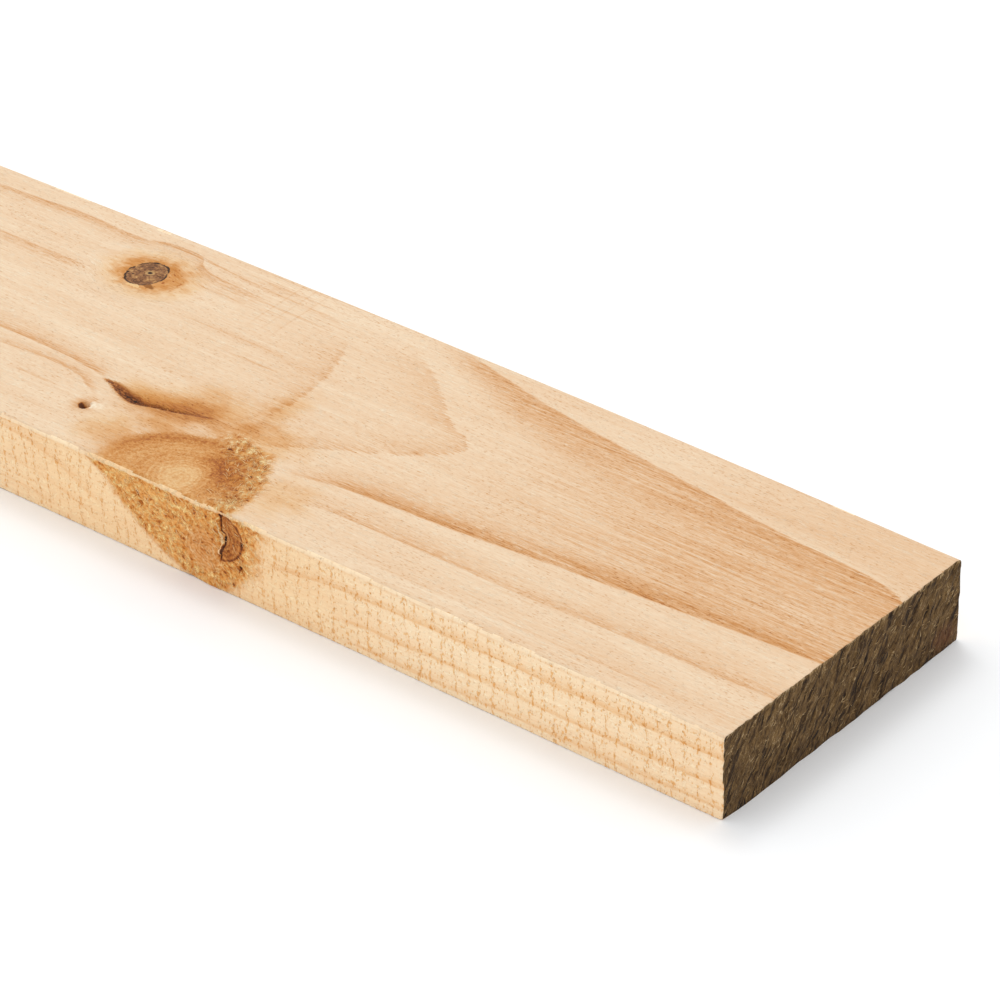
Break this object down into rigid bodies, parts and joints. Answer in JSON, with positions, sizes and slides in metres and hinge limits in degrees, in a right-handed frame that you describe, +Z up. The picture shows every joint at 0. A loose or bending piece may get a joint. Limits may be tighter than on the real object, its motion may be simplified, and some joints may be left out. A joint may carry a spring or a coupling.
{
  "type": "timber plank",
  "caption": "Sawn softwood plank of rectangular section with eased long edges, square-cut ends and a slight swell in one long edge by a knot.",
  "frame": {"origin": "centre of the bottom of the bounding box, on the face the plank lies on", "axes": "+X along the grain towards the weathered saw cut by the knots, +Y across the width towards the edge with the swell, +Z up through the thickness"},
  "size_m": [1.8, 0.1024, 0.025],
  "materials": {
    "softwood": "matte"
  },
  "bodies": {
    "root": {"plank": "softwood"}
  },
  "joints": []
}
